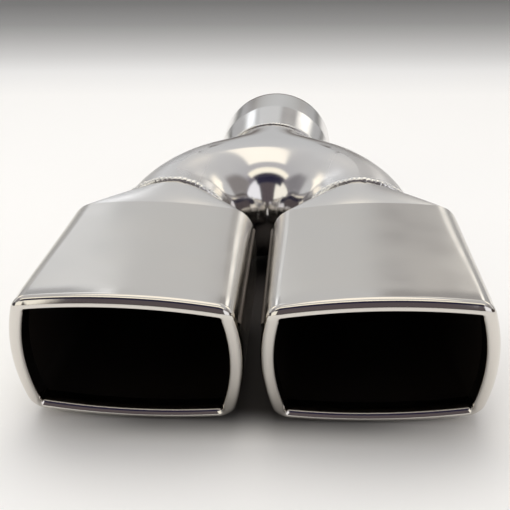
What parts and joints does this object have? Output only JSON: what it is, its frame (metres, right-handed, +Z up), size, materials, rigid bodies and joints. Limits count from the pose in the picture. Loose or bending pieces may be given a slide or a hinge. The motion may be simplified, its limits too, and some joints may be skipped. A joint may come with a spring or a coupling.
{
  "type": "exhaust tip",
  "caption": "Twin rectangular slant-cut exhaust tip with rolled lips, joined by cones and a formed Y pipe to one round slip-on inlet.",
  "frame": {"origin": "centre of the inlet mouth, on the axis of the inlet bore", "axes": "+Y along the inlet bore, back into the exhaust line; the outlets face -Y; +Z up, with the slanted top of each outlet standing forward; +X to the right seen from the outlets"},
  "size_m": [0.1788, 0.2922, 0.0677],
  "materials": {
    "sleeve_steel": "polished",
    "cone_steel": "polished",
    "pipe_steel": "satin polished",
    "weld_steel": "as welded, lightly polished"
  },
  "bodies": {
    "root": {"left_outlet_sleeve": "sleeve_steel", "right_outlet_sleeve": "sleeve_steel", "left_sleeve_seam": "weld_steel", "right_sleeve_seam": "weld_steel", "left_cone": "cone_steel", "right_cone": "cone_steel", "left_neck_weld": "weld_steel", "right_neck_weld": "weld_steel", "y_pipe": "pipe_steel", "inlet_weld": "weld_steel", "inlet_pipe": "pipe_steel"}
  },
  "joints": []
}
